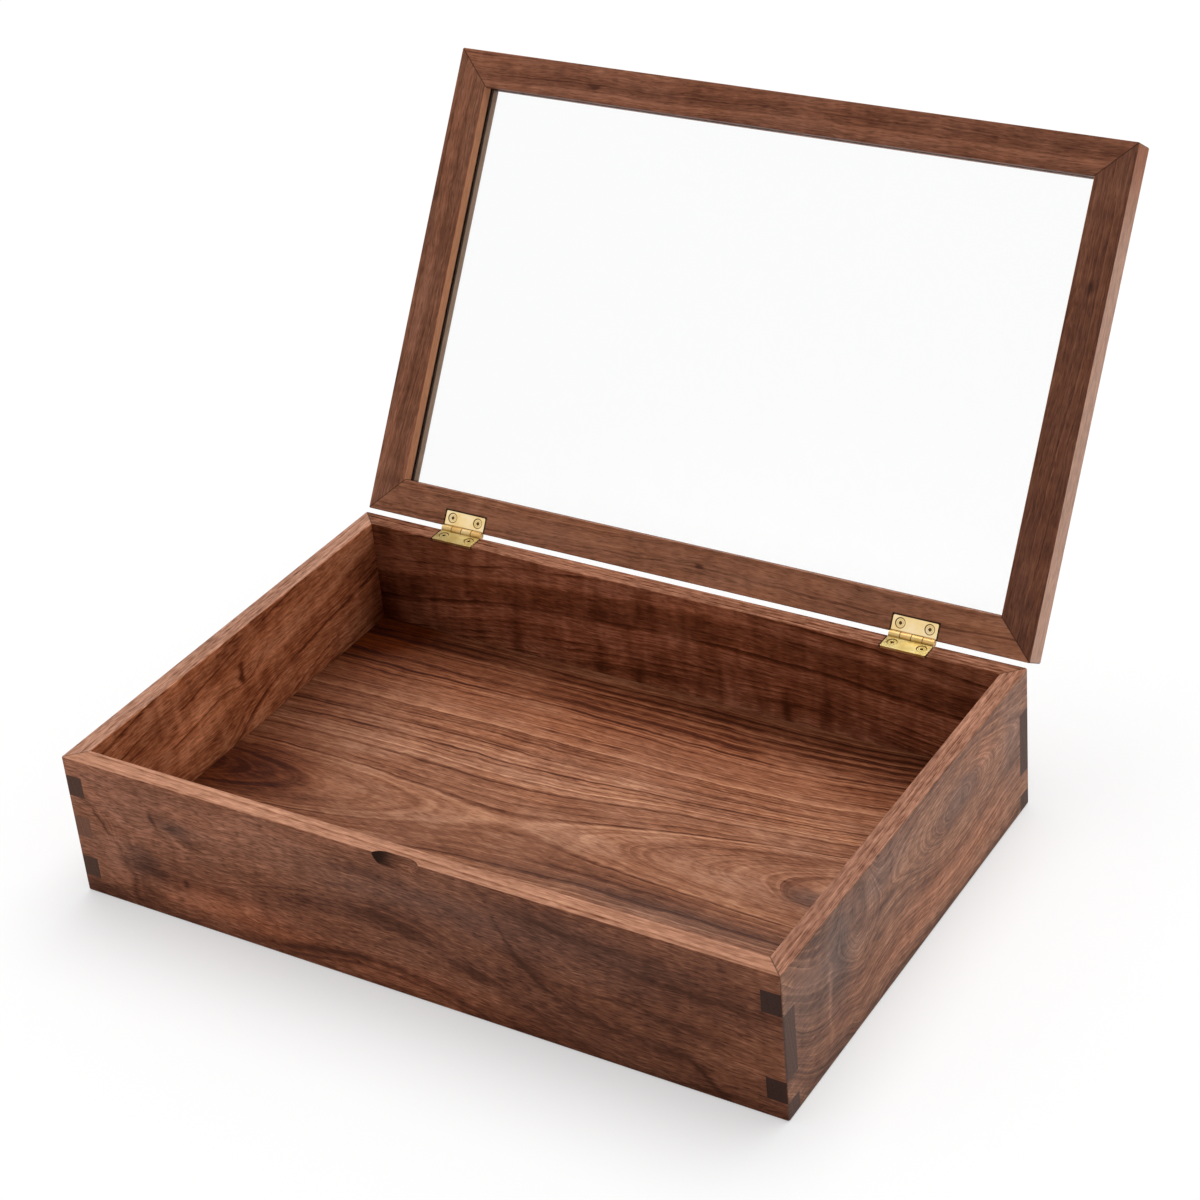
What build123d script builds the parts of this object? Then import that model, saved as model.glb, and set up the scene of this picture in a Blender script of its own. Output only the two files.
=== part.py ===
from build123d import *
from math import cos, radians, sin, sqrt
import os

os.makedirs("parts", exist_ok=True)

# Walnut jewelry box with a glass lid, in millimetres, the lid standing open on its hinge stops.
# Origin: under the middle of the open box, in the plane that it stands on.
# +X to the right end, +Y towards the hinges, +Z up.

# Box walls
box_length = 305.0
box_depth = 200.0
box_height = 62.0
wall = 8.0
corner_round = 1.0
foot_round = 0.8
rim_round = 0.5
inner_edge_round = 0.4
footprint_y = -58.9

# Fingers of the side boards through the front and back, as shares of the height of the box.
# The right corners leave out the middle one.
finger_height = 0.15 * box_height
finger_pitch = 0.30 * box_height
finger_steps = {"left": (-1, 0, 1), "right": (-1, 1)}

# Bottom panel, its tongue in a groove round the walls
panel_top = 15.5
panel_thickness = 7.0
panel_gap = 0.25
tongue_thickness = 4.0
groove_depth = 4.0
tongue_end_gap = 0.5

# Thumb scoop in the middle of the front board, cut along its top edge by a round-nosed bit that is
# centred a little above the rim
scoop_width = 20.0
scoop_reach = 2.5
scoop_drop = 5.0
bit_up = 0.5

# Lid frame and glass
lid_thickness = 12.0
lid_round = 0.4
lid_corner_round = 0.6
rail_width = 15.0
lid_gap = 0.5
lid_open_angle = 122.0
glass_thickness = 2.0
glass_groove = 5.0
glass_edge_gap = 0.5
spline_across = 7.0
spline_along = 5.5
spline_thickness = 2.0
spline_inset = 7.25

# Hinges: two narrow butt hinges let into the rim and the lid
hinge_spacing = 208.0
hinge_length = 19.2
pin_setback = 1.0
leaf_thickness = 1.0
leaf_corner = 0.6
box_leaf_cover = wall
lid_leaf_cover = 6.6
recess_gap = 0.4
barrel_radius = 1.5
barrel_clearance = 0.12
knuckle_count = 4
knuckle_gap = 0.1
pin_radius = 0.75
pin_end_chamfer = 0.2
running_clearance = 0.04

# Stop inside the barrel: a dog on one knuckle runs in an arc cut in the next
dog_angle = -91.0
dog_arc = 50.0
dog_inner = 0.85
dog_outer = 1.15
dog_length = 0.7
dog_slot_outer = 1.22
dog_slot_depth = 0.75
open_margin = 0.3
closed_margin = 4.0

# Hinge screws
screw_spacing = 12.5
screw_inset = 4.8
screw_length = 7.5
screw_tip = 1.5
screw_shank_radius = 1.0
screw_hole_radius = 1.1
countersink_radius = 2.1
head_sink = 0.25
drive_width = 0.5
drive_length = 1.5
drive_depth = 0.5

# Worked out from the sizes above
inner_length = box_length - 2 * wall
inner_depth = box_depth - 2 * wall
corner_x = (box_length - wall) / 2
corner_y = (box_depth - wall) / 2
finger_top = box_height / 2 + finger_pitch + finger_height / 2
groove_base = panel_top - panel_thickness
opening_length = box_length - 2 * rail_width
opening_depth = box_depth - 2 * rail_width

pin_y = box_depth / 2 + pin_setback
hinge_y = footprint_y + pin_y
hinge_z = box_height + lid_gap / 2
hinge_xs = {"left": -hinge_spacing / 2, "right": hinge_spacing / 2}
knuckle_pitch = (hinge_length + knuckle_gap) / knuckle_count
knuckle_length = knuckle_pitch - knuckle_gap
screw_xs = (-screw_spacing / 2, screw_spacing / 2)
head_radius = countersink_radius - head_sink
head_height = head_radius - screw_hole_radius

# Frame of the box: on the middle of its footprint
box_plane = Plane(origin=(0, footprint_y, 0), x_dir=(1, 0, 0), z_dir=(0, 0, 1))

# Frame of the lid: on the hinge pin, X along the pin, -Y towards the lid's front rail,
# Z out of the lid's top face
lid_normal = Vector(0, sin(radians(lid_open_angle)), cos(radians(lid_open_angle)))
lid_plane = Plane(origin=(0, hinge_y, hinge_z), x_dir=(1, 0, 0), z_dir=lid_normal)
lid_under = lid_gap / 2
lid_middle_y = -(pin_setback + box_depth / 2)
lid_axis = Axis((0, hinge_y, hinge_z), lid_normal)


def across(plane, x):
    """Plane square to the hinge pin at x along it, with the plane's Y and Z as its own X and Y."""
    return Plane(origin=plane.from_local_coords((x, 0, 0)), x_dir=plane.y_dir, z_dir=plane.x_dir)


def leaf_plane(side, body):
    """Frame of a hinge leaf: on the pin at the middle of the hinge, Z out of the leaf's bare face."""
    origin = (hinge_xs[side], hinge_y, hinge_z)
    if body == "box":
        return Plane(origin=origin, x_dir=(1, 0, 0), z_dir=(0, 0, 1))
    return Plane(origin=origin, x_dir=(-1, 0, 0), z_dir=-lid_normal)


# The four walls in one piece, before they are parted at the corners
with BuildPart() as walls:
    with BuildSketch(box_plane):
        RectangleRounded(box_length, box_depth, corner_round)
        Rectangle(inner_length, inner_depth, mode=Mode.SUBTRACT)
    extrude(amount=box_height)
    foot = walls.faces().sort_by(Axis.Z)[0]
    fillet(foot.outer_wire().edges(), foot_round)
    rim = walls.faces().sort_by(Axis.Z)[-1]
    fillet(rim.outer_wire().edges(), rim_round)
    rim = walls.faces().sort_by(Axis.Z)[-1]
    fillet(rim.inner_wires()[0].edges(), inner_edge_round)
    with BuildSketch(box_plane.offset(groove_base)):
        Rectangle(inner_length + 2 * groove_depth, inner_depth + 2 * groove_depth)
    extrude(amount=tongue_thickness, mode=Mode.SUBTRACT)
    # Hinge recesses, right through the rim, and pilot holes for the screws
    with BuildSketch(box_plane.offset(box_height - leaf_thickness)):
        with Locations(*[(x, corner_y) for x in hinge_xs.values()]):
            Rectangle(hinge_length + 2 * recess_gap, wall + 2 * rim_round)
    extrude(amount=2 * leaf_thickness, mode=Mode.SUBTRACT)
    with BuildSketch(box_plane.offset(box_height - leaf_thickness)):
        with Locations(*[(x + s, pin_y - screw_inset) for x in hinge_xs.values() for s in screw_xs]):
            Circle(screw_shank_radius)
    extrude(amount=-screw_length, mode=Mode.SUBTRACT)
    # Thumb scoop: the bit meets the front face and the rim in the stated width, reach and drop
    bit_out = (scoop_drop**2 + 2 * scoop_drop * bit_up - scoop_reach**2) / (2 * scoop_reach)
    bit_radius = sqrt((scoop_reach + bit_out) ** 2 + bit_up**2)
    bit_travel = scoop_width / 2 - sqrt(bit_radius**2 - bit_out**2 - bit_up**2)
    bit_y = footprint_y - box_depth / 2 - bit_out
    with Locations((0, bit_y, box_height + bit_up)):
        Cylinder(bit_radius, 2 * bit_travel, rotation=(0, 90, 0), mode=Mode.SUBTRACT)
    with Locations(*[(side * bit_travel, bit_y, box_height + bit_up) for side in (-1, 1)]):
        Sphere(bit_radius, mode=Mode.SUBTRACT)

# Corner joints: mitred above the top fingers. Below, the front and back boards run through to the
# sides, except where the side boards' fingers run through them.
corner_spots = {
    (sx, sy): (sx * corner_x, footprint_y + sy * corner_y) for sx in (-1, 1) for sy in (-1, 1)
}
fingers = {
    (sx, sy): [
        (*corner_spots[sx, sy], box_height / 2 + step * finger_pitch)
        for step in finger_steps["left" if sx < 0 else "right"]
    ]
    for sx, sy in corner_spots
}

# Front and back boards
for board_name, sy in (("front_board", -1), ("back_board", 1)):
    with BuildPart() as board:
        with BuildSketch(box_plane):
            Polygon(
                (-box_length / 2, sy * box_depth / 2),
                (box_length / 2, sy * box_depth / 2),
                (inner_length / 2, sy * inner_depth / 2),
                (-inner_length / 2, sy * inner_depth / 2),
                align=None,
            )
        extrude(amount=box_height)
        with Locations(*[(*corner_spots[sx, sy], finger_top / 2) for sx in (-1, 1)]):
            Box(wall, wall, finger_top)
        with Locations(*fingers[-1, sy], *fingers[1, sy]):
            Box(wall, wall, finger_height, mode=Mode.SUBTRACT)
        add(walls.part, mode=Mode.INTERSECT)
    board.part.label = board_name
    export_step(board.part, f"parts/{board_name}.step")

# Side boards
for board_name, sx in (("left_side", -1), ("right_side", 1)):
    with BuildPart() as side_board:
        with BuildSketch(box_plane):
            Polygon(
                (sx * box_length / 2, -box_depth / 2),
                (sx * box_length / 2, box_depth / 2),
                (sx * inner_length / 2, inner_depth / 2),
                (sx * inner_length / 2, -inner_depth / 2),
                align=None,
            )
        extrude(amount=box_height)
        with Locations(*[(*corner_spots[sx, sy], finger_top / 2) for sy in (-1, 1)]):
            Box(wall, wall, finger_top, mode=Mode.SUBTRACT)
        with Locations(*fingers[sx, -1], *fingers[sx, 1]):
            Box(wall, wall, finger_height)
        add(walls.part, mode=Mode.INTERSECT)
    side_board.part.label = board_name
    export_step(side_board.part, f"parts/{board_name}.step")

# Bottom panel
with BuildPart() as bottom_panel:
    with BuildSketch(box_plane.offset(groove_base)):
        Rectangle(inner_length - 2 * panel_gap, inner_depth - 2 * panel_gap)
    extrude(amount=panel_thickness)
    with BuildSketch(box_plane.offset(groove_base)):
        tongue = groove_depth - tongue_end_gap
        Rectangle(inner_length + 2 * tongue, inner_depth + 2 * tongue)
    extrude(amount=tongue_thickness)
bottom_panel.part.label = "bottom_panel"
export_step(bottom_panel.part, "parts/bottom_panel.step")

# The lid's frame in one piece, before it is parted at the mitres
spline_spots = [
    (sx * (box_length / 2 - spline_inset), lid_middle_y + sy * (box_depth / 2 - spline_inset), sx * sy)
    for sx in (-1, 1)
    for sy in (-1, 1)
]
spline_base = lid_plane.offset(lid_under + (lid_thickness - spline_thickness) / 2)

with BuildPart() as lid_frame:
    with BuildSketch(lid_plane.offset(lid_under)):
        with Locations((0, lid_middle_y)):
            RectangleRounded(box_length, box_depth, lid_corner_round)
            Rectangle(opening_length, opening_depth, mode=Mode.SUBTRACT)
    extrude(amount=lid_thickness)
    top_face = lid_frame.faces().sort_by(lid_axis)[-1]
    under_face = lid_frame.faces().sort_by(lid_axis)[0]
    fillet(top_face.outer_wire().edges() + under_face.outer_wire().edges(), lid_round)
    top_face = lid_frame.faces().sort_by(lid_axis)[-1]
    under_face = lid_frame.faces().sort_by(lid_axis)[0]
    fillet(top_face.inner_wires()[0].edges() + under_face.inner_wires()[0].edges(), inner_edge_round)
    with BuildSketch(lid_plane.offset(lid_under + (lid_thickness - glass_thickness) / 2)):
        with Locations((0, lid_middle_y)):
            Rectangle(opening_length + 2 * glass_groove, opening_depth + 2 * glass_groove)
    extrude(amount=glass_thickness, mode=Mode.SUBTRACT)
    with BuildSketch(spline_base):
        for x, y, turn in spline_spots:
            with Locations((x, y)):
                Rectangle(spline_along, spline_across, rotation=45 * turn)
    extrude(amount=spline_thickness, mode=Mode.SUBTRACT)
    # Hinge recesses in the underside of the back rail, and pilot holes for the screws
    with BuildSketch(lid_plane.offset(lid_under - leaf_thickness)):
        recess_depth = lid_round + lid_leaf_cover + recess_gap
        recess_middle = lid_round - pin_setback - recess_depth / 2
        with Locations(*[(x, recess_middle) for x in hinge_xs.values()]):
            Rectangle(hinge_length + 2 * recess_gap, recess_depth)
    extrude(amount=2 * leaf_thickness, mode=Mode.SUBTRACT)
    with BuildSketch(lid_plane.offset(lid_under + leaf_thickness)):
        with Locations(*[(x + s, -screw_inset) for x in hinge_xs.values() for s in screw_xs]):
            Circle(screw_shank_radius)
    extrude(amount=screw_length - leaf_thickness, mode=Mode.SUBTRACT)

lid_back = -pin_setback
lid_front = lid_back - box_depth
lid_members = {
    "lid_back_rail": [(-1, lid_back, 0), (1, lid_back, 0), (1, lid_back, 1), (-1, lid_back, 1)],
    "lid_front_rail": [(-1, lid_front, 0), (1, lid_front, 0), (1, lid_front, 1), (-1, lid_front, 1)],
    "lid_left_stile": [(-1, lid_back, 0), (-1, lid_front, 0), (-1, lid_front, 1), (-1, lid_back, 1)],
    "lid_right_stile": [(1, lid_back, 0), (1, lid_front, 0), (1, lid_front, 1), (1, lid_back, 1)],
}

# Lid rails and stiles. A corner is (side, back or front edge, 0 outside or 1 at the opening).
for member_name, corners in lid_members.items():
    with BuildPart() as member:
        with BuildSketch(lid_plane.offset(lid_under)):
            Polygon(
                *[
                    (
                        sx * (box_length / 2 - inset * rail_width),
                        edge + inset * rail_width * (1 if edge == lid_front else -1),
                    )
                    for sx, edge, inset in corners
                ],
                align=None,
            )
        extrude(amount=lid_thickness)
        add(lid_frame.part, mode=Mode.INTERSECT)
    member.part.label = member_name
    export_step(member.part, f"parts/{member_name}.step")

# Loose splines across the four mitres of the lid
with BuildPart() as lid_splines:
    with BuildSketch(spline_base):
        for x, y, turn in spline_spots:
            with Locations((x, y)):
                Rectangle(spline_along, spline_across, rotation=45 * turn)
    extrude(amount=spline_thickness)
lid_splines.part.label = "lid_splines"
export_step(lid_splines.part, "parts/lid_splines.step")

# Glass pane
with BuildPart() as glass_pane:
    with BuildSketch(lid_plane.offset(lid_under + (lid_thickness - glass_thickness) / 2)):
        held = glass_groove - glass_edge_gap
        with Locations((0, lid_middle_y)):
            Rectangle(opening_length + 2 * held, opening_depth + 2 * held)
    extrude(amount=glass_thickness)
glass_pane.part.label = "glass_pane"
export_step(glass_pane.part, "parts/glass_pane.step")


def ring_sector(inner, outer, start, size):
    """Face of a ring between two radii, from the start angle over an arc of the given size."""
    with BuildLine() as outline:
        rim_arc = CenterArc((0, 0), outer, start, size)
        bore_arc = CenterArc((0, 0), inner, start, size)
        Line(rim_arc @ 0, bore_arc @ 0)
        Line(rim_arc @ 1, bore_arc @ 1)
    make_face(outline.edges())


leaf_cover = {"box": box_leaf_cover, "lid": lid_leaf_cover}
bore_radius = {"box": pin_radius, "lid": pin_radius + running_clearance}
slot_start = -dog_angle - lid_open_angle - dog_arc / 2 - open_margin
slot_arc = lid_open_angle + dog_arc + open_margin + closed_margin

for side in hinge_xs:
    for body in ("box", "lid"):
        plane = leaf_plane(side, body)
        first_knuckle = -hinge_length / 2
        third_knuckle = first_knuckle + 2 * knuckle_pitch

        # Hinge leaf: a plate let into the wood, with the first and third knuckles of the barrel
        with BuildPart() as leaf:
            plate_near = barrel_radius + barrel_clearance
            plate_far = pin_setback + leaf_cover[body]
            with BuildSketch(plane.offset(-lid_under - leaf_thickness)) as plate:
                with Locations((0, -(plate_near + plate_far) / 2)):
                    Rectangle(hinge_length, plate_far - plate_near)
                fillet(plate.vertices().group_by(Axis.Y)[0], leaf_corner)
            extrude(amount=leaf_thickness)
            for start in (first_knuckle, third_knuckle):
                with BuildSketch(across(plane, start)):
                    Circle(barrel_radius)
                    with Locations((-plate_near / 2, -lid_under - leaf_thickness / 2)):
                        Rectangle(plate_near + barrel_clearance, leaf_thickness)
                extrude(amount=knuckle_length)
            with BuildSketch(across(plane, first_knuckle)):
                Circle(bore_radius[body])
            extrude(amount=hinge_length, mode=Mode.SUBTRACT)
            with BuildSketch(across(plane, third_knuckle + knuckle_length)):
                ring_sector(bore_radius[body], dog_slot_outer, slot_start, slot_arc)
            extrude(amount=-dog_slot_depth, mode=Mode.SUBTRACT)
            with BuildSketch(across(plane, first_knuckle + knuckle_length)):
                ring_sector(dog_inner, dog_outer, dog_angle - dog_arc / 2, dog_arc)
            extrude(amount=dog_length)
            with Locations(plane.offset(-lid_under)):
                with Locations(*[(x, -screw_inset) for x in screw_xs]):
                    CounterSinkHole(screw_hole_radius, countersink_radius, leaf_thickness, 90)
        leaf.part.label = f"{side}_{body}_leaf"
        export_step(leaf.part, f"parts/{side}_{body}_leaf.step")

        # The leaf's two countersunk wood screws, with a cross recess
        with BuildPart() as screws:
            with Locations(plane.offset(-lid_under - head_sink)):
                with Locations(*[(x, -screw_inset) for x in screw_xs]):
                    Cone(
                        screw_hole_radius,
                        head_radius,
                        head_height,
                        align=(Align.CENTER, Align.CENTER, Align.MAX),
                    )
                    Box(
                        drive_length,
                        drive_width,
                        drive_depth,
                        align=(Align.CENTER, Align.CENTER, Align.MAX),
                        mode=Mode.SUBTRACT,
                    )
                    Box(
                        drive_width,
                        drive_length,
                        drive_depth,
                        align=(Align.CENTER, Align.CENTER, Align.MAX),
                        mode=Mode.SUBTRACT,
                    )
            with Locations(plane.offset(-lid_under - head_sink - head_height)):
                with Locations(*[(x, -screw_inset) for x in screw_xs]):
                    shank_length = screw_length - screw_tip - head_sink - head_height
                    Cylinder(
                        screw_shank_radius,
                        shank_length,
                        align=(Align.CENTER, Align.CENTER, Align.MAX),
                    )
            with Locations(plane.offset(-lid_under - screw_length + screw_tip)):
                with Locations(*[(x, -screw_inset) for x in screw_xs]):
                    Cone(
                        drive_width / 2,
                        screw_shank_radius,
                        screw_tip,
                        align=(Align.CENTER, Align.CENTER, Align.MAX),
                    )
        screws.part.label = f"{side}_{body}_screws"
        export_step(screws.part, f"parts/{side}_{body}_screws.step")

    # Hinge pin, fast in the box leaf and free in the lid leaf
    with BuildPart() as pin:
        with BuildSketch(across(leaf_plane(side, "box"), -hinge_length / 2)):
            Circle(pin_radius)
        extrude(amount=hinge_length)
        chamfer(pin.edges(), pin_end_chamfer)
    pin.part.label = f"{side}_hinge_pin"
    export_step(pin.part, f"parts/{side}_hinge_pin.step")
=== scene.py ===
import math

import bpy
from mathutils import Matrix, Vector

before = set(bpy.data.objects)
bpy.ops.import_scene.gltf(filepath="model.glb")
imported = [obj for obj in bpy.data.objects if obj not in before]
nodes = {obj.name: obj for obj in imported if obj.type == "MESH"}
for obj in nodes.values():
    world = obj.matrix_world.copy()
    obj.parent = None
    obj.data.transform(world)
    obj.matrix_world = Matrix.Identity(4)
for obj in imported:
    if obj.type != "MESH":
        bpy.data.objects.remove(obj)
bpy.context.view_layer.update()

# Where the box's and the lid's own coordinates start, in metres: the middle of the box's footprint, and
# the middle of the hinge pins. The lid is open by LID_ANGLE.
FOOTPRINT = (0.0, -0.0589, 0.0)
HINGE = (0.0, 0.0421, 0.06225)
LID_ANGLE = math.radians(122)

# Measures of the part in millimetres
HALF_WIDTH, HALF_DEPTH, MID_HEIGHT = 152.5, 100.0, 31.0
PIN_BACK, PIN_HEIGHT = 101.0, 62.25  # the pins behind the box's middle, and above its foot
HINGE_X = 104.0  # each hinge's middle, to the left and right
SCREW_X, SCREW_Y = 6.25, 4.8  # the screws from their hinge's middle, and in front of its pin
LID_INNER_X, LID_INNER_Y = 137.5, 85.0  # inner edges of the lid's frame

# Where the colours change, in millimetres
LEAF_END = 9.6  # ends of a leaf, from its hinge's middle
SPLIT = 4.8  # outer two gaps between the knuckles, from the hinge's middle
BARREL = 1.55  # just outside the barrel, from the pin's middle
GROOVE_END, GROOVE_AT = 5.5, 6.6  # painted shade in the groove round the glass: its depth, and its middle over the pins
LIP_AT = 6.0  # where the frame's inner edges turn from pale to grey, over the pins
SCOOP_END, SCOOP_BACK = 12.0, -97.2  # thumb scoop: its two ends, and its back, from the box's middle


def srgb(red, green, blue):
    """Linear colour with alpha from 0 to 255 screen values."""
    parts = [v / 255 for v in (red, green, blue)]
    return tuple(v / 12.92 if v <= 0.04045 else ((v + 0.055) / 1.055) ** 2.4 for v in parts) + (1.0,)


class Field:
    """A number at each point of a surface, with arithmetic that adds the nodes for it."""

    def __init__(self, graph, socket):
        self.graph = graph
        self.socket = socket

    def op(self, operation, *others):
        return self.graph.math(operation, self, *others)

    def __add__(self, other):
        return self.op("ADD", other)

    def __sub__(self, other):
        return self.op("SUBTRACT", other)

    def __rsub__(self, other):
        return self.graph.math("SUBTRACT", other, self)

    def __mul__(self, other):
        return self.op("MULTIPLY", other)

    def __truediv__(self, other):
        return self.op("DIVIDE", other)

    def __neg__(self):
        return self.op("MULTIPLY", -1.0)

    __radd__ = __add__
    __rmul__ = __mul__

    def squared(self):
        return self.op("MULTIPLY", self)

    def root(self):
        return self.op("SQRT")

    def size(self):
        return self.op("ABSOLUTE")

    def low(self, other):
        return self.op("MINIMUM", other)

    def high(self, other):
        return self.op("MAXIMUM", other)

    def step(self, low, high):
        """0 below low, 1 above high, smooth between."""
        return self.graph.step(self, low, high)


class Graph:
    """The nodes of one material or world."""

    def __init__(self, owner):
        owner.use_nodes = True
        self.owner = owner
        self.tree = owner.node_tree
        self.tree.nodes.clear()

    def put(self, socket, value):
        if isinstance(value, Field):
            value = value.socket
        if isinstance(value, bpy.types.NodeSocket):
            self.tree.links.new(value, socket)
        else:
            socket.default_value = value

    def node(self, kind, settings=(), **inputs):
        made = self.tree.nodes.new(kind)
        for key, value in dict(settings).items():
            setattr(made, key, value)
        for key, value in inputs.items():
            self.put(made.inputs[key.replace("_", " ")], value)
        return made

    def math(self, operation, *values):
        made = self.node("ShaderNodeMath", {"operation": operation})
        for socket, value in zip(made.inputs, values):
            self.put(socket, value)
        return Field(self, made.outputs[0])

    def step(self, *values):
        made = self.node("ShaderNodeMapRange", {"interpolation_type": "SMOOTHSTEP"})
        for socket, value in zip(made.inputs, values):
            self.put(socket, value)
        return Field(self, made.outputs[0])

    def vector(self, x, y, z):
        made = self.node("ShaderNodeCombineXYZ")
        for socket, value in zip(made.inputs, (x, y, z)):
            self.put(socket, value)
        return made.outputs[0]

    def noise(self, x, y, z, detail=0.0, roughness=0.5):
        """Soft noise from -0.5 to 0.5 with features about one unit across."""
        made = self.node(
            "ShaderNodeTexNoise", {"noise_dimensions": "3D"}, Vector=self.vector(x, y, z),
            Scale=1.0, Detail=detail, Roughness=roughness,
        )
        return Field(self, made.outputs[0]) - 0.5

    def stripes(self, value, detail=0.0, roughness=0.5):
        """The same noise along one number, which makes lines where that number is constant."""
        made = self.node(
            "ShaderNodeTexNoise", {"noise_dimensions": "1D"}, W=value,
            Scale=1.0, Detail=detail, Roughness=roughness,
        )
        return Field(self, made.outputs[0]) - 0.5

    def ramp(self, value, stops):
        made = self.node("ShaderNodeValToRGB", Fac=value)
        ramp = made.color_ramp
        while len(ramp.elements) < len(stops):
            ramp.elements.new(0.5)
        for element, (position, colour) in zip(ramp.elements, stops):
            element.position = position
            element.color = colour
        return made.outputs[0]

    def mix(self, share, first, second, blend="MIX"):
        made = self.node("ShaderNodeMix", {"data_type": "RGBA", "blend_type": blend})
        for socket, value in zip((made.inputs[0], made.inputs[6], made.inputs[7]), (share, first, second)):
            self.put(socket, value)
        return made.outputs[2]

    def times(self, colour, other):
        """The colour times another, channel by channel."""
        return self.mix(1.0, colour, other, "MULTIPLY")

    def shade(self, colour, value):
        """The colour times a number."""
        return self.times(colour, self.vector(value, value, value))

    def coordinates(self, origin, turn=0.0):
        """Place on the part in millimetres from origin, turned about X, and the surface's direction."""
        source = self.node("ShaderNodeTexCoord")
        moved = self.node("ShaderNodeVectorMath", {"operation": "SUBTRACT"})
        self.put(moved.inputs[0], source.outputs["Object"])
        moved.inputs[1].default_value = origin
        turned = self.node(
            "ShaderNodeMapping", Vector=moved.outputs[0], Rotation=(turn, 0, 0), Scale=(1000, 1000, 1000)
        )
        both = (turned.outputs[0], source.outputs["Normal"])
        parts = [self.node("ShaderNodeSeparateXYZ", Vector=v).outputs for v in both]
        return [[Field(self, socket) for socket in outputs] for outputs in parts]

    def ray(self, kind):
        return Field(self, self.node("ShaderNodeLightPath").outputs[kind])

    def seen_directly(self):
        """1 where the camera looks at a thing directly or through glass."""
        return self.ray("Is Camera Ray").high(self.ray("Is Transmission Ray"))

    def end(self, shader, share=None, other=None):
        """Ends the tree in a shader, or in its mix with another, of which it takes a share."""
        if other:
            mixed = self.node("ShaderNodeMixShader")
            for socket, value in zip(mixed.inputs, (share, shader.outputs[0], other.outputs[0])):
                self.put(socket, value)
            shader = mixed
        kind = "World" if isinstance(self.owner, bpy.types.World) else "Material"
        self.node("ShaderNodeOutput" + kind, Surface=shader.outputs[0])


def dress(node, material):
    """Gives a CAD node its material."""
    mesh = nodes[node]
    if not mesh.material_slots:
        mesh.data.materials.append(material)
    for held in mesh.material_slots:
        held.material = material


# Walnut

def hills(g, a, b, spots):
    """Sum of smooth hills: (place along, place across, half length, half width, height)."""
    total = None
    for at_a, at_b, long, wide, height in spots:
        far = ((a - at_a) / long).squared() + ((b - at_b) / wide).squared()
        hill = g.math("EXPONENT", -far) * height
        total = hill if total is None else total + hill
    return total


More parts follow.
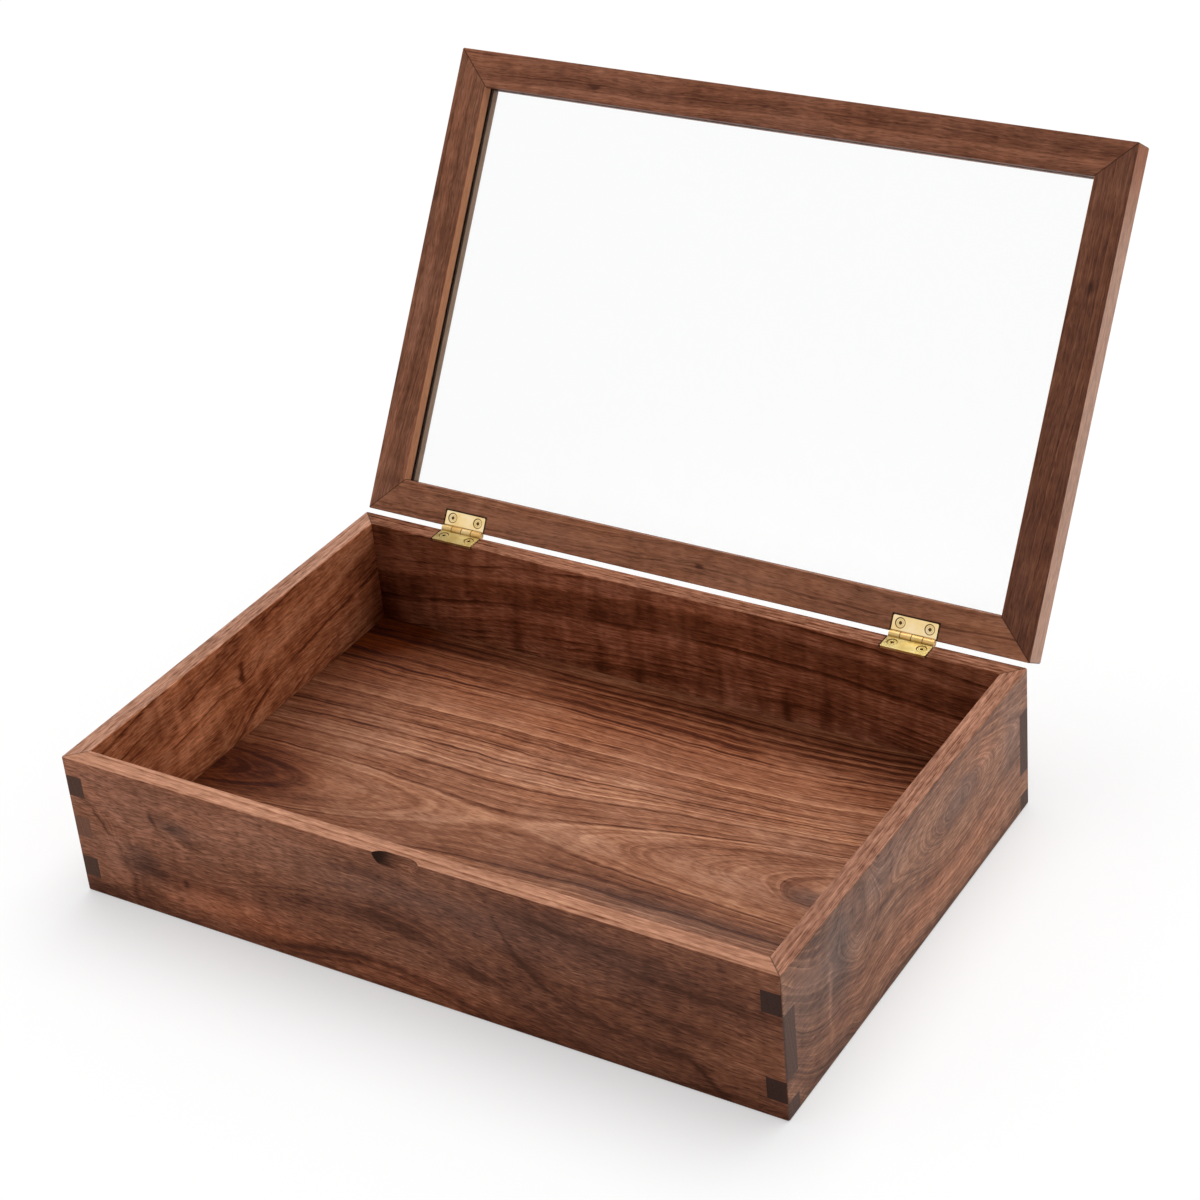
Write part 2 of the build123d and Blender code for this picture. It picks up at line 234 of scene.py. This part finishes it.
def walnut(name, grain, figure, seed, palette, ring=5.0, gain=1.5, line=0.3, band=0.4, fine=0.25,
           fibre=0.4, curl=0.15, cloud=0.3, speck=0.5, shine=0.1, calm=(), streaks=(), lines=None, marks=(),
           greys=(), warms=(), painted_shades=(), outside=None, ends=None, rim=None, inlet=None):
    """Oiled walnut with its grain along one axis.

    figure gives a height in mm at each place along and across the board, and the growth lines follow
    its level lines, ring mm apart. palette holds the dark, middle and light screen colour, and gain
    their contrast. line, band, fine, fibre, curl, cloud and speck weigh the late wood's lines, the broad
    and the fine stripes, the short fibres, the cross figure, the blotches and the pores.

    streaks are single dark lines on a level: (height, half width, depth, place along, half length).
    lines is a function that gives the depth of dark lines that cross the levels. calm, marks, greys
    and warms are hills that thin out the lines, darken the wood, grey it and redden it. shades are
    hills of painted shade, and of painted light where their height is below zero. outside tints the
    outer face, as the palette holds the inner face's colour with the box's inner light painted in,
    and keeps the painted shade to the inner one. ends is a function that gives the end grain's
    colour, and on the front board the painted shade in the left of the thumb scoop, rim the top
    edge's colour and contrast, paler and greyer with a painted sheen, and inlet where the hinges'
    recesses end.
    """
    g = Graph(bpy.data.materials.new("walnut_" + name))
    lid = grain in ("rail", "stile")
    if lid:
        (x, y, z), facing = g.coordinates(HINGE, LID_ANGLE)
        y = y + PIN_BACK
    else:
        (x, y, z), facing = g.coordinates(FOOTPRINT)
    # Along the grain, across it, and through the board
    a, b, c = {
        "front": (x, z - MID_HEIGHT, y), "side": (y, z - MID_HEIGHT, x), "panel": (x, y, z),
        "rail": (x, y, z), "stile": (y, x, z),
    }[grain]

    # The growth rings, with a slow sway and a short ripple, at uneven distances
    sway = g.noise(a / 90 + seed, b / 30, c / 30)
    ripple = g.noise(a / 20 + seed, b / 8, c / 8, 2.0, 0.6)
    bent = b + sway * 6.0 + ripple * 2.4
    height = figure(g, a, bent) + c * 0.4
    rings = height / ring + seed * 7.0
    rings = rings + g.stripes(rings * 0.8) * 1.3

    # Late wood's lines, which come and go, then stripes, fibres, blotches and pores
    strength = g.stripes(rings * 0.37 + 40.0).step(-0.25, 0.2)
    fade = g.noise(a / 38 + seed, b / 9, c / 9, 2.0).step(-0.22, 0.14)
    late = g.math("POWER", g.math("FRACT", rings), 4.0) * strength * fade
    loud = 1.0 - hills(g, a, b, calm).low(1.0) if calm else 1.0
    bands = g.stripes(rings * 0.33 + 20.0, 2.0)
    thin = g.stripes(height * 0.75 + seed, 3.0, 0.7)
    fibres = g.noise(a / 8 + seed, bent / 0.5, c / 0.5, 2.0, 0.7)
    hairs = g.noise(a / 5 + seed, bent / 1.0 + a * 0.04, c / 1.0, 1.0)
    mottle = g.noise(a / 6 + seed, b / 20, c / 20, 2.0)
    clouds = g.noise(a / 60, b / 18 + seed, c / 18, 3.0, 0.6)
    warmth = g.noise(a / 40 + seed, b / 9, c / 9, 2.0)
    pores = g.noise(a / 3.0 + seed, bent / 0.42, c / 0.42).step(0.08, 0.24)

    value = (
        (bands * band + thin * fine) * (loud * 0.6 + 0.4) + (fibres + hairs * 0.7) * fibre + mottle * curl
        + clouds * cloud - late * loud * line
    ) * gain + (0.5 + line * 0.10)
    for level, half, depth, at, long in streaks:
        far = ((height - level) / half).squared() + ((a - at) / long).squared()
        value = value - g.math("EXPONENT", -far) * (fade * 0.75 + 0.25) * depth
    if lines:
        value = value - lines(g, a, bent) * (fade * 0.7 + 0.3)
    place = (a + ripple * 7.0, b + sway * 5.0 + ripple * 5.0)
    if marks:
        value = value - hills(g, *place, marks)

    dark, middle, light = (srgb(*tone) for tone in palette)
    colour = g.ramp(value, (
        (0.02, tuple(v * 0.62 for v in dark[:3]) + (1,)), (0.22, dark), (0.5, middle), (0.78, light),
        (0.98, tuple(v * 1.3 for v in light[:3]) + (1,)),
    ))
    colour = g.times(colour, g.vector(warmth * 0.16 + 1.0, 1.0, warmth * -0.24 + 1.0))
    if greys:
        ashen = g.shade(srgb(140, 112, 100), value * 1.1 + 0.4)
        colour = g.mix(hills(g, *place, greys).low(1.0), colour, ashen)
    if warms:
        warm = hills(g, *place, warms)
        colour = g.times(colour, g.vector(warm * 0.12 + 1.0, warm * -0.04 + 1.0, warm * -0.15 + 1.0))
    colour = g.shade(colour, 1.0 - pores * speck)

    # The top edges: lighter wood, paler and greyer with a painted sheen
    if rim:
        top = facing[2].step(0.80, 0.97)
        tint, contrast = rim
        threads = g.stripes(c * 0.7 + a * 0.012 + ripple * 0.8, 3.0, 0.65) * 1.3
        threads = (threads + (fibres + hairs) * 0.7 + clouds * 0.6) * contrast - 0.03
        threads = g.vector(threads + 1.0, threads * 1.2 + 1.0, threads * 1.35 + 1.0)
        colour = g.mix(top * 0.85, colour, g.times(tint, threads))
    # Painted shade, and painted light where a hill's height is below zero. It turns redder as it darkens, the
    # colour of light bounced round inside the box
    if painted_shades:
        shadow = hills(g, a, b, painted_shades).low(0.86)
        # Outer faces take the outside tint and none of the painted shade
        if outside:
            within = -(facing[1] * y if grain == "front" else facing[0] * x)
            shadow = shadow * within.step(10.0, 60.0)
            colour = g.mix((-within).step(10.0, 60.0), colour, g.times(colour, outside))
        colour = g.times(colour, g.vector(1.0 - shadow * 0.9, 1.0 - shadow * 1.05, 1.0 - shadow * 1.15))

    # The lid's pale inner and outer edges, and painted shade, nearly black, in the groove round its glass
    if grain == "stile":
        inner = 1.0 - b.size().step(LID_INNER_X + 0.1, LID_INNER_X + 0.35)
        pale = g.mix(c.step(LIP_AT, LIP_AT + 1.0), srgb(214, 148, 106), srgb(150, 128, 108))
        colour = g.mix(inner * 0.8, colour, g.shade(pale, fibres * 0.9 + 1.0))
        outer = facing[0].size().step(0.8, 0.97) * b.size().step(HALF_WIDTH - 2.0, HALF_WIDTH - 1.0)
        pale = g.mix(a.step(-105, -50), srgb(158, 94, 58), srgb(194, 150, 128))
        colour = g.mix(outer * 0.9, colour, g.shade(pale, (fibres + hairs) * 0.8 + clouds * 0.4 + 1.0))
    if lid:
        bottom = (LID_INNER_X if grain == "stile" else LID_INNER_Y) + GROOVE_END
        groove_shade = 1.0 - (c - GROOVE_AT).size().step(1.65, 1.85)
        colour = g.shade(colour, 1.0 - (1.0 - b.size().step(bottom, bottom + 0.3)) * groove_shade * 0.95)

    # Painted shade in the gaps round the leaves, on the lid's underside and the box's rim, and dark lines
    # along the mitres
    if inlet is not None:
        gap_shade = 1.0 - ((x.size() - HINGE_X).size() - LEAF_END).high(inlet - y).step(0.45, 0.95)
        gap_shade = gap_shade * ((1.0 - c.step(1.7, 2.1)) * 0.75 if lid else z.step(60.4, 60.8) * 0.5)
        colour = g.shade(colour, 1.0 - gap_shade)
    if grain != "panel":
        seam = 1.0 - ((HALF_WIDTH - x.size()) - (HALF_DEPTH - y.size())).size().step(0.15, 0.5)
        colour = g.shade(colour, 1.0 - (seam if lid else seam * facing[2].step(0.8, 0.9)) * 0.6)

    # End grain on the fingers' ends, and on the front board painted shade, nearly black, in the left of the
    # thumb scoop
    if ends:
        end = facing[0 if grain == "front" else 1].size().step(0.35, 0.85)
        if grain == "front":
            scoop = 1.0 - x.size().step(SCOOP_END - 1.0, SCOOP_END + 1.0)
            hollow = y.step(0.05 - HALF_DEPTH, 0.5 - HALF_DEPTH) * (1.0 - x.step(-8.0, 2.0))
            hollow = hollow * (1.0 - y.step(SCOOP_BACK - 0.1, SCOOP_BACK + 0.1))
            hollow = facing[0].step(0.05, 0.45).high(hollow * (1.0 - facing[2].step(0.8, 0.95)))
            end = end * (1.0 - scoop) + hollow * scoop
        dots = g.noise(x / 0.7, y / 0.7, z / 0.7, 2.0) * 0.8
        dots = dots + g.stripes((x + y) * 1.3 + z * 0.2, 2.0) * 0.6 + 1.0
        colour = g.mix(end, colour, g.shade(ends(g, x, y, z), dots))

    bump = g.node("ShaderNodeBump", Height=fibres * 0.5 - pores, Strength=0.3, Distance=0.0001)
    g.end(g.node(
        "ShaderNodeBsdfPrincipled", Base_Color=colour, Roughness=0.48 + fibres * 0.2 + pores * 0.2,
        Normal=bump.outputs[0], Specular_IOR_Level=shine,
    ))
    return g.owner


def front_figure(g, a, b):
    return b + hills(g, a, b, (
        (-14.5, 0, 60, 900, -16), (98, 0, 52, 900, 15), (172, 0, 30, 900, 12), (-152, -5, 26, 60, -24),
        (-108, 11, 10, 7, -7), (-131, -5, 8, 9, 12),
    ))


def front_lines(g, a, b):
    """Dark lines that cross the grain: a swirl down the left end, and two that run out to the right."""
    wobble = g.noise(a / 9, b / 7, 3.0, 3.0, 0.6)
    turn = b + 7.0
    left = a + 126.5 + (turn + (turn.squared() + 60.0).root()) * 0.45 + wobble * 9.0
    near = g.math("EXPONENT", -((left - 2.0) / 9.0).squared())
    left = g.math("EXPONENT", -(left / 1.7).squared()) * 0.3 + g.stripes(left / 2.8, 2.0) * near * 0.5
    left = left * b.step(-36, -26) * (1.0 - b.step(10, 22))
    fall = g.math("EXPONENT", (41.0 - a) / 16) * 29.0
    right = b + 15.0 - fall + a.step(112, 132) * 14.0 + wobble * 5.0
    right = g.math("EXPONENT", -(right / 1.7).squared()) * a.step(36, 46) * (1.0 - a.step(120, 136)) * 0.34
    high = b - 11.0 - (1.0 - a.step(45, 115)) * 12.0 + wobble * 3.0
    high = g.math("EXPONENT", -(high / 1.4).squared()) * a.step(36, 70) * 0.22
    return left + right + high


def back_figure(g, a, b):
    return b - hills(g, a, b, ((-150, 0, 75, 900, -16), (150, 0, 60, 900, -9), (60, -12, 20, 14, 4)))


def left_figure(g, a, b):
    return b - a * 0.16 + hills(g, a, b, ((0, 11, 9, 6, 6), (-22, -12, 26, 12, 8), (70, -20, 40, 20, -6)))


def right_figure(g, a, b):
    """A nest of ovals, a loop that hangs from the top edge, and waves below them."""
    oval = hills(g, a, b, ((36, 0, 40, 900, 1.0),))
    loop = hills(g, a, b, ((-44, 0, 11, 900, 1.0),))
    wave = hills(g, a, b, ((-8, 0, 18, 900, 3.0), (-110, 0, 24, 900, 24.0)))
    up = (b - 12.0 - wave - loop * 9.0) * (1.0 - loop * 0.22)
    return -((1.0 - oval - loop).high(0.0) * 324.0 + up.squared()).root()


def panel_figure(g, a, b):
    """Two cathedrals that point at each other, and nearly straight lines behind them."""
    up = b + 13.0 - a * g.math("EXPONENT", -((b + 16.0) / 50).squared()) * 0.11
    away = (up.squared() + 25.0**2).root()
    apart = ((a + 14).squared() + 30.0**2).root() * g.math("EXPONENT", -(up / 45).squared()) * 0.12
    return away - apart - hills(g, a, b, ((165, 70, 65, 60, 12), (110, -9, 9, 5, 2.5)))


def rail_figure(g, a, b):
    return b + a * 0.015


def stile_figure(g, a, b):
    return b + a * 0.03


def side_ends(g, x, y, z):
    """End grain of the side boards' fingers: the left ones lighter, their middle one most of all."""
    left = g.mix((z - MID_HEIGHT).size().step(6.0, 8.0), srgb(118, 79, 62), srgb(83, 57, 46))
    return g.mix(x.step(-10, 10), left, srgb(53, 28, 19))


def board_ends_and_scoop_shade(g, x, y, z):
    """End grain of the front and back boards, grey brown, and the painted shade, nearly black, in the left of
    the thumb scoop.
    """
    return g.mix(x.size().step(SCOOP_END - 1.0, SCOOP_END + 1.0), srgb(44, 26, 19), srgb(94, 71, 63))


# Name, grain, figure, seed, palette and the rest of what walnut takes, board by board
BOARDS = (
    ("front_board", "front", front_figure, 1.3, ((97, 56, 39), (136, 86, 63), (181, 122, 95)), dict(
        ring=5.5, gain=1.7, line=0.07, band=0.16, fine=0.18, fibre=0.46, cloud=0.38, speck=0.36, shine=0.06,
        ends=board_ends_and_scoop_shade, rim=(srgb(178, 126, 99), 1.2), lines=front_lines,
        streaks=(
            (-16, 3.8, 0.12, 0, 90), (-36, 1.8, 0.14, 20, 60), (-55, 3.6, 0.24, 4, 60),
            (-58, 1.2, 0.2, 0, 50), (-75, 2.0, 0.42, -20, 44), (-78.5, 0.9, 0.2, -20, 40),
            (-49, 1.2, 0.16, 20, 50),
        ),
        marks=(
            (-112, 13, 1.3, 4, 0.4), (-108, 16, 4, 1.4, 0.2), (-103, 11, 6, 2.4, 0.3), (-96, 7, 6, 2, 0.2),
            (-120, -8, 5, 8, 0.28), (-136, -4, 5, 9, -0.14), (-138, -18, 9, 5, -0.1),
            (-127, -1, 1.5, 7, 0.14), (-112, -12, 4, 2.4, 0.24), (-105, -16, 3, 1.6, 0.2),
            (-101, -13, 1.3, 2.2, 0.4), (-119, -22, 5, 8, 0.24), (-142, -27, 14, 3, 0.12),
            (90, 0, 90, 60, 0.18), (78, 21, 30, 1.3, 0.2), (20, 18, 50, 7, 0.12), (52, 3, 9, 6, 0.12),
            (80, -2, 20, 1.3, 0.2), (112, -4, 16, 1.3, 0.2), (120, -20, 4, 4, 0.14), (126, -27, 5, 3, 0.14),
        ),
        greys=((-124, -8, 10, 9, 0.2), (-102, 11, 9, 4, 0.22), (60, 18, 60, 12, 0.2), (0, 14, 60, 10, 0.16)),
        warms=((-80, -18, 40, 12, 0.9), (0, -24, 60, 8, 0.8), (60, 20, 60, 16, 0.3)),
        painted_shades=(
            (0, -33, 400, 9, 0.34), (0, 32, 400, 9, -0.08), (130, -2, 50, 16, 0.24), (66, 30, 24, 8, -0.14),
            (-140, -28, 34, 12, 0.18), (-62, 28, 40, 14, -0.1), (140, 31, 30, 6, 0.1),
        ),
    )),
    # The back and left boards' palettes hold their inner faces' colour with the box's warm inner light
    # painted in. outside tones their outer faces back down
    ("back_board", "front", back_figure, 4.1, ((108, 58, 35), (148, 88, 60), (190, 124, 93)), dict(
        ring=4.5, gain=2.1, line=0.28, band=0.3, fine=0.24, fibre=0.36, curl=0.3, speck=0.3, shine=0.05,
        ends=board_ends_and_scoop_shade, rim=(srgb(145, 97, 74), 2.2), inlet=-200,
        marks=(
            (-76, -11, 2.5, 9, 0.24), (-35, -10, 2.5, 10, 0.3), (-17, -12, 2.5, 8, 0.2),
            (52, -11, 2.5, 8, 0.34), (70, -10, 3, 11, 0.28), (60, -12, 12, 10, 0.12),
        ),
        painted_shades=(
            (-150, -12, 27, 40, 0.8), (-152, -28, 24, 18, 0.3), (40, -16, 90, 14, -0.16),
            (130, 24, 30, 8, 0.16), (-18, -24, 34, 10, -0.26), (112, -22, 24, 12, -0.3),
            (-110, 4, 20, 20, 0.12),
        ),
        outside=(0.76, 0.86, 1.0, 1),
    )),
    # Palette with the box's inner light painted in, as on the back board
    ("left_side", "side", left_figure, 7.7, ((124, 66, 40), (184, 112, 74), (222, 150, 108)), dict(
        ring=4.5, gain=1.9, line=0.26, band=0.3, fine=0.2, fibre=0.4, curl=0.26, cloud=0.22, speck=0.3,
        shine=0.06, ends=side_ends, rim=(srgb(165, 122, 101), 1.8),
        marks=((-2, 12, 1.6, 4.5, 0.6), (-2, 17, 3, 2, 0.3)),
        painted_shades=(
            (99, -10, 21, 36, 0.66), (99, -26, 24, 18, 0.45), (-36, 2, 15, 60, -0.26), (0, 0, 40, 60, -0.08),
        ),
        outside=(0.6, 0.65, 0.76, 1),
    )),
    # The right side's palette is paler and greyer than the front's: the wood's tone with a painted sheen
    ("right_side", "side", right_figure, 2.9, ((104, 69, 53), (142, 98, 75), (186, 136, 108)), dict(
        ring=2.7, gain=1.85, line=0.16, band=0.23, fine=0.42, fibre=0.4, cloud=0.26, speck=0.15, shine=0.14,
        ends=side_ends, rim=(srgb(162, 111, 87), 1.9),
        marks=(
            (-57, 10, 4.5, 15, 0.26), (40, 12, 9, 4, 0.2), (-72, 0, 36, 60, 0.2), (-67, 1, 1.3, 17, -0.32),
            (-18, 22, 1.1, 9, 0.2), (-27, 9, 6, 1.4, 0.2), (-44, 1, 5, 6, -0.12), (20, -20, 90, 6, -0.12),
            (30, -29, 90, 2, 0.2),
        ),
        greys=(
            (-60, 14, 10, 20, 0.6), (-80, 12, 22, 16, 0.35), (-30, 22, 22, 10, 0.45), (40, 13, 14, 7, 0.5),
            (85, 8, 9, 20, 0.4),
        ),
        warms=((20, -15, 85, 11, 1.0), (60, 20, 20, 12, 0.6)),
        painted_shades=(
            (0, -33, 400, 11, 0.16), (72, 16, 45, 20, -0.2), (-78, 31, 26, 6, 0.06), (-72, -16, 40, 24, 0.1),
            (24, -12, 26, 10, 0.08),
        ),
    )),
    ("bottom_panel", "panel", panel_figure, 5.2, ((92, 49, 30), (152, 99, 72), (200, 147, 115)), dict(
        ring=2.1, gain=1.45, line=0.34, band=0.24, fine=0.52, fibre=0.34, curl=0.08, cloud=0.3, speck=0.2,
        shine=0.1, calm=((-92, -20, 60, 17, 0.8), (85, -13, 60, 14, 0.8), (-15, -24, 50, 16, 0.6)),
        streaks=(
            (106.6, 0.9, 0.46, 0, 900), (102.7, 0.9, 0.46, 0, 900), (98.8, 1.3, 0.4, 60, 120),
            (94.9, 1.1, 0.4, 80, 120), (90.1, 0.8, 0.42, 0, 900), (85.2, 0.8, 0.38, 0, 900),
            (80.0, 0.9, 0.4, 0, 900), (76.6, 0.6, 0.2, 0, 900), (68.9, 0.6, 0.2, 0, 900),
            (61.3, 0.6, 0.2, 0, 900), (54.7, 0.6, 0.2, 0, 900), (47.4, 0.5, 0.16, 0, 900),
            (43.1, 0.5, 0.14, 0, 900), (32.6, 0.6, 0.16, 0, 900), (29.6, 0.5, 0.2, 0, 900),
            (26.0, 0.3, 0.14, 40, 60), (25.2, 0.4, 0.18, -80, 50), (24.2, 0.4, 0.14, 60, 60),
            (19.7, 0.5, 0.3, -110, 50),
        ),
        marks=(
            (112, -7, 8, 4.5, 0.36), (45, -36, 60, 3, 0.1), (30, -29, 50, 2.5, 0.12),
            (-128, -24, 19, 10, 0.34), (-80, -19, 20, 8, -0.1), (65, -14, 30, 7, -0.1), (80, -34, 50, 5, 0.2),
        ),
        greys=((112, -7, 9, 5, 0.5), (75, -37, 70, 7, 0.35)),
        # The first warm hill reddens the floor's back under its painted shade: the warm colour of that shade,
        # painted
        warms=((0, 75, 200, 34, 1.2), (-130, -24, 30, 16, 0.9)),
        painted_shades=(
            (-150, 0, 50, 900, 0.58), (-150, 94, 34, 24, 0.4), (0, 84, 300, 30, 0.38),
            (135, 62, 36, 45, 0.24), (-110, -6, 24, 50, 0.14), (0, 32, 110, 26, -0.1),
            (0, -36, 300, 20, 0.25),
        ),
    )),
    ("lid_front_rail", "rail", rail_figure, 3.3, ((102, 60, 44), (139, 88, 65), (170, 113, 86)), dict(
        ring=2.8, gain=1.9, line=0.2, band=0.34, fine=0.28, fibre=0.3, speck=0.25, shine=0.08,
        marks=((-85, -91, 3, 1.2, 0.4),), painted_shades=((-70, -92, 70, 30, -0.06), (120, -92, 50, 30, 0.1)),
    )),
    ("lid_back_rail", "rail", rail_figure, 8.4, ((112, 69, 50), (151, 99, 73), (182, 124, 94)), dict(
        ring=2.8, gain=1.9, line=0.2, band=0.34, fine=0.28, fibre=0.3, speck=0.25, shine=0.08, inlet=93.4,
        marks=((8.5, 94.5, 1.6, 0.8, 0.6),),
    )),
    ("lid_left_stile", "stile", stile_figure, 6.3, ((98, 60, 44), (134, 86, 64), (165, 111, 85)), dict(
        ring=3.2, gain=1.9, line=0.2, band=0.34, fine=0.28, fibre=0.3, speck=0.25, shine=0.08,
    )),
    ("lid_right_stile", "stile", stile_figure, 10.6, ((77, 45, 33), (107, 65, 47), (138, 89, 66)), dict(
        ring=3.2, gain=1.7, line=0.24, band=0.36, fine=0.24, fibre=0.3, speck=0.25, shine=0.12,
        marks=((-43, 145, 2.5, 1.5, 0.5),),
    )),
    ("lid_splines", "rail", rail_figure, 1.1, ((70, 42, 32), (98, 62, 46), (130, 86, 66)), dict()),
)
for name, grain, figure, seed, palette, settings in BOARDS:
    dress(name, walnut(name, grain, figure, seed, palette, **settings))


# Brass

def brass(name, lid, palette, barrel_tint, roughness):
    """Polished brass with painted shade round the screw heads and between the knuckles.

    palette holds three tones of it as screen colours, and barrel_tint evens out the knuckles, which
    catch more light than the flat leaves do.
    """
    g = Graph(bpy.data.materials.new(name))
    if lid:
        (x, y, z), _ = g.coordinates(HINGE, LID_ANGLE)
        screw_y, pin = -SCREW_Y, (y.squared() + z.squared()).root()
    else:
        (x, y, z), _ = g.coordinates(FOOTPRINT)
        screw_y, pin = PIN_BACK - SCREW_Y, ((y - PIN_BACK).squared() + (z - PIN_HEIGHT).squared()).root()
    off = x.size() - HINGE_X
    barrel = 1.0 - pin.step(BARREL, BARREL + 0.15)

    # Painted shade round each screw's head and its recess, in the recess, between knuckles and along the
    # barrel
    away = ((off.size() - SCREW_X).squared() + (y - screw_y).squared()).root()
    crease_shade = (1.0 - (away - 2.0).size().step(0.1, 0.3)) * 0.9
    crease_shade = crease_shade.high((1.0 - (away - 1.25).size().step(0.06, 0.2)) * 0.4)
    crease_shade = crease_shade.high((1.0 - away.step(0.55, 0.9)) * 0.9)
    splits = 1.0 - off.size().low((off.size() - SPLIT).size()).step(0.1, 0.28)
    crease_shade = crease_shade.high(splits * barrel * 0.75)
    crease_shade = crease_shade.high((1.0 - (pin - 1.72).size().step(0.08, 0.25)) * 0.5)

    tarnish = g.noise(x / 5, y / 5, z / 5, 2.0)
    scratches = g.noise(x / 9, y / 0.3, z / 0.3, 1.0)
    tones = [(place, srgb(*tone)) for place, tone in zip((0.2, 0.5, 0.8), palette)]
    colour = g.ramp(tarnish + 0.5, tones)
    colour = g.mix(barrel, colour, g.times(colour, barrel_tint))
    # Dark brown painted shade in these creases
    colour = g.mix(crease_shade, colour, srgb(84, 54, 20))
    bump = g.node("ShaderNodeBump", Height=scratches, Strength=0.12, Distance=0.00004)
    g.end(g.node(
        "ShaderNodeBsdfPrincipled", Base_Color=colour, Metallic=1.0,
        Roughness=crease_shade * 0.3 + tarnish * 0.1 + roughness, Normal=bump.outputs[0],
    ))
    return g.owner


# The lid's and the box's leaves are the same brass in two tones, each set to how its leaf catches the light:
# paler on the lid and darker on the box, painted light and shade
lid_brass = brass(
    "brass_lid", True, ((230, 195, 128), (241, 213, 156), (246, 224, 184)), (0.70, 0.58, 0.42, 1), 0.34,
)
box_brass = brass(
    "brass_box", False, ((197, 173, 101), (206, 188, 126), (210, 198, 149)), (1.0, 0.86, 0.87, 1), 0.38,
)
for name in nodes:
    if name.endswith(("_leaf", "_pin", "_screws")):
        dress(name, lid_brass if "_lid_" in name else box_brass)


# Glass, nearly clear to the lamp's light

g = Graph(bpy.data.materials.new("clear_glass"))
g.end(
    g.node(
        "ShaderNodeBsdfPrincipled", Base_Color=(0.945, 0.952, 0.95, 1), Roughness=0.0, IOR=1.45,
        Transmission_Weight=1.0,
    ),
    g.ray("Is Shadow Ray"),
    g.node("ShaderNodeBsdfTransparent", Color=(0.97, 0.98, 0.975, 1)),
)
dress("glass_pane", g.owner)


# Floor and backdrop, both white to the camera

FLOOR_HALF, FLOOR_DROP = 6.0, 0.0002  # metres
WHITE = (1, 1, 1, 1)

g = Graph(bpy.data.materials.new("floor"))
g.end(
    g.node("ShaderNodeBsdfDiffuse", Color=(0.985, 0.985, 0.985, 1)),
    g.seen_directly() * 0.45,
    g.node("ShaderNodeEmission", Color=WHITE, Strength=1.0),
)
mesh = bpy.data.meshes.new("floor")
corners = [(x * FLOOR_HALF, y * FLOOR_HALF, 0) for x, y in ((-1, -1), (1, -1), (1, 1), (-1, 1))]
mesh.from_pydata(corners, [], [(0, 1, 2, 3)])
mesh.materials.append(g.owner)
floor = bpy.data.objects.new("floor", mesh)
floor.location.z = -FLOOR_DROP
bpy.context.scene.collection.objects.link(floor)

g = Graph(bpy.data.worlds.new("studio"))
g.end(
    g.node("ShaderNodeBackground", Color=WHITE, Strength=0.45),
    g.seen_directly().high(g.ray("Is Glossy Ray")),
    g.node("ShaderNodeBackground", Color=WHITE, Strength=1.0),
)
bpy.context.scene.world = g.owner


# Light and camera

def sun(name, towards, strength, spread):
    """A distant lamp. towards points from the object to the lamp."""
    lamp = bpy.data.lights.new(name, "SUN")
    lamp.energy = strength
    lamp.angle = math.radians(spread)
    holder = bpy.data.objects.new(name, lamp)
    holder.rotation_mode = "QUATERNION"
    holder.rotation_quaternion = Vector(towards).to_track_quat("Z", "Y")
    bpy.context.scene.collection.objects.link(holder)


sun("key", (0.0, 0.32, 1.0), 1.95, 50)

# Camera of the photograph, fitted to the corners of the box and lid, in metres and pixels
PIXELS, SENSOR = 1200, 36
azimuth, elevation, roll = (math.radians(v) for v in (32.46, 29.38, -4.814))
distance, aim = 1.320, Vector((-0.1037, 0.2486 + FOOTPRINT[1], 0.0))
focal, middle_x, middle_y = 2817, 650, 500
back = Vector((
    math.sin(azimuth) * math.cos(elevation), -math.cos(azimuth) * math.cos(elevation), math.sin(elevation),
))
level = Vector((math.cos(azimuth), math.sin(azimuth), 0))
upright = back.cross(level)
right = math.cos(roll) * level + math.sin(roll) * upright
up = -math.sin(roll) * level + math.cos(roll) * upright
data = bpy.data.cameras.new("camera")
data.sensor_width = SENSOR
data.lens = focal * SENSOR / PIXELS
data.shift_x = (PIXELS / 2 - middle_x) / PIXELS
data.shift_y = (middle_y - PIXELS / 2) / PIXELS
data.clip_start, data.clip_end = 0.05, 50
camera = bpy.data.objects.new("camera", data)
bpy.context.scene.collection.objects.link(camera)
place = Matrix((right, up, back)).transposed().to_4x4()
place.translation = aim + back * distance
camera.matrix_world = place
bpy.context.scene.camera = camera
bpy.context.scene.view_settings.view_transform = "Standard"
